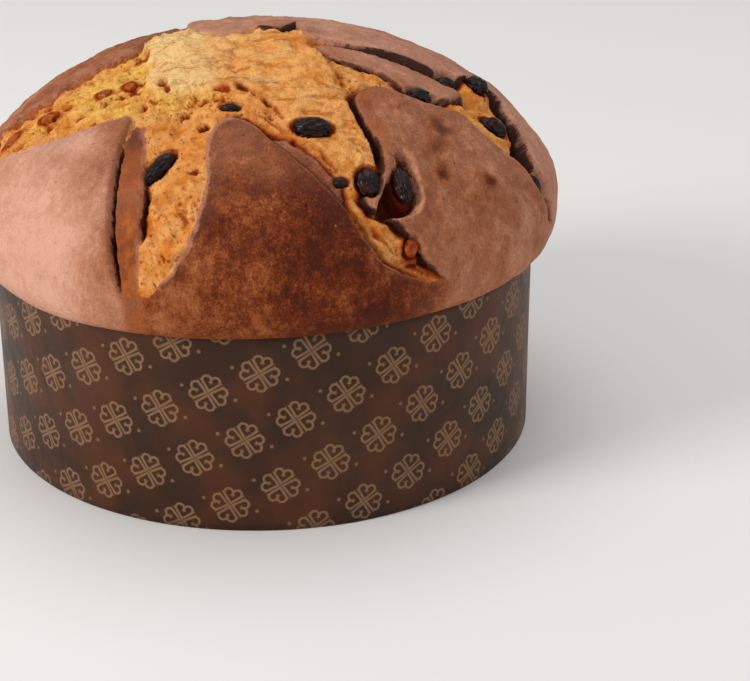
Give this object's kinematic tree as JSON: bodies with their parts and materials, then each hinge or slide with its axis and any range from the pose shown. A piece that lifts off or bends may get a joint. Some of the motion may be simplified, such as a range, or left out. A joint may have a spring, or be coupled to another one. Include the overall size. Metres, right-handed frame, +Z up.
{
  "type": "panettone",
  "caption": "Tall domed sweet bread baked in a round paper mould, its crust torn open into lifted flaps over a rough crumb with dried fruit; stands on its flat base.",
  "frame": {"origin": "centre of the mould's underside, on the surface it stands on", "axes": "+Z up, -Y towards the side with the widest smooth crust flap, +X to the right of it"},
  "size_m": [0.229, 0.229, 0.158],
  "materials": {
    "crust": "matte",
    "printed_paper": "satin",
    "plain_paper": "matte",
    "raisin_skin": "satin",
    "candied_peel": "gloss"
  },
  "bodies": {
    "root": {"loaf": "crust", "paper_band": "printed_paper", "paper_base": "plain_paper", "raisin_01": "raisin_skin", "raisin_02": "raisin_skin", "raisin_03": "raisin_skin", "raisin_04": "raisin_skin", "raisin_05": "raisin_skin", "raisin_06": "raisin_skin", "raisin_07": "raisin_skin", "raisin_08": "raisin_skin", "raisin_09": "raisin_skin", "raisin_10": "raisin_skin", "raisin_11": "raisin_skin", "raisin_12": "raisin_skin", "raisin_13": "raisin_skin", "raisin_14": "raisin_skin", "raisin_15": "raisin_skin", "raisin_16": "raisin_skin", "candied_fruit_01": "candied_peel", "candied_fruit_02": "candied_peel", "candied_fruit_03": "candied_peel", "candied_fruit_04": "candied_peel", "candied_fruit_05": "candied_peel", "candied_fruit_06": "candied_peel"}
  },
  "joints": []
}
